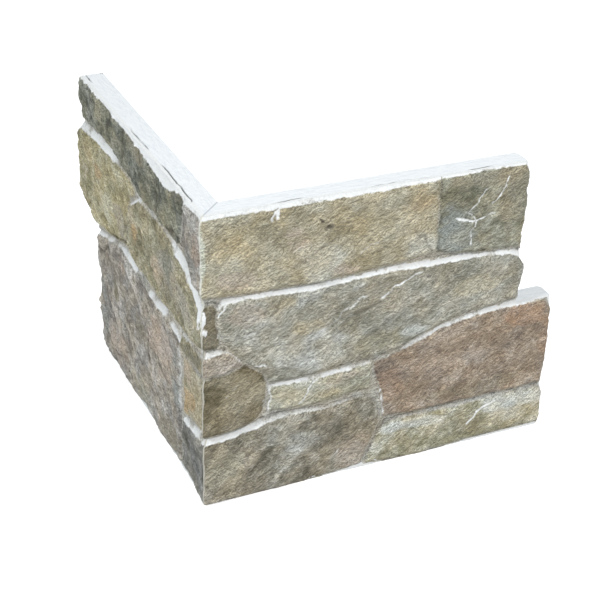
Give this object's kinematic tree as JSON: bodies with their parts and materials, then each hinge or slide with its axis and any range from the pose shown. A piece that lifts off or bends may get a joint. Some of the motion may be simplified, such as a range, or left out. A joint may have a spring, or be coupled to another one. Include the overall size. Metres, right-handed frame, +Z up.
{
  "type": "stone cladding corner piece",
  "caption": "Outside corner of ledge-stone wall cladding: mitred clay panels with rough printed stone relief, flat backs and stepped interlocking ends.",
  "frame": {"origin": "foot of the inner corner, where the wall's arris stands", "axes": "+X along the front panel away from the corner, +Y along the return panel away from the corner, +Z up; the front panel's back faces +Y and the return panel's back faces +X"},
  "size_m": [0.1857, 0.1903, 0.15],
  "materials": {
    "printed_clay": "matt fired clay with a printed stone face",
    "adhesive": "dull hardened adhesive"
  },
  "bodies": {
    "root": {"front_panel": "printed_clay", "return_panel": "printed_clay", "mitre_bond": "adhesive"}
  },
  "joints": []
}
